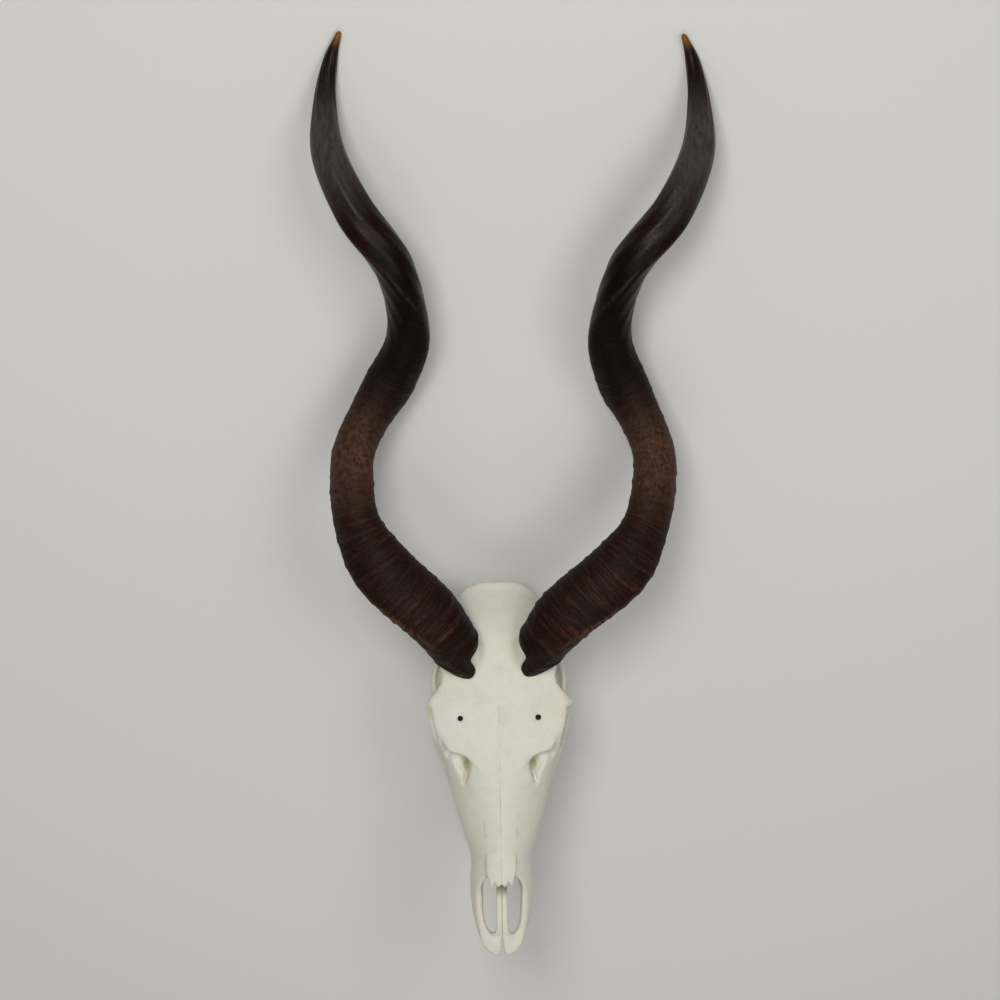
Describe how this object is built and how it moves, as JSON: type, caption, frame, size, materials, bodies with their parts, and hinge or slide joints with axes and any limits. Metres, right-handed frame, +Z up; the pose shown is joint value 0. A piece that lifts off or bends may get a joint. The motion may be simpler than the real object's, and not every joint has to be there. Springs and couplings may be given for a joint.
{
  "type": "kudu skull mount",
  "caption": "Cleaned antelope skull without its lower jaw, with long spiral horns, ring ridges at their bases and cheek teeth in place; lies on its back side, also used on a wall.",
  "frame": {"origin": "on the resting surface, in the middle of the part's length and width", "axes": "+Y from the nose towards the horn tips, +Z up, out of the forehead; the face slopes up towards the nose by 22 degrees from the resting surface; +X to the animal's left"},
  "size_m": [0.4308, 1.0184, 0.2288],
  "materials": {
    "bone": "matte",
    "horn": "satin",
    "tooth": "satin"
  },
  "bodies": {
    "root": {"skull": "bone", "horn_left": "horn", "horn_right": "horn", "tooth_molar_3_left": "tooth", "tooth_molar_3_right": "tooth", "tooth_molar_2_left": "tooth", "tooth_molar_2_right": "tooth", "tooth_molar_1_left": "tooth", "tooth_molar_1_right": "tooth", "tooth_premolar_4_left": "tooth", "tooth_premolar_4_right": "tooth", "tooth_premolar_3_left": "tooth", "tooth_premolar_3_right": "tooth", "tooth_premolar_2_left": "tooth", "tooth_premolar_2_right": "tooth"}
  },
  "joints": []
}
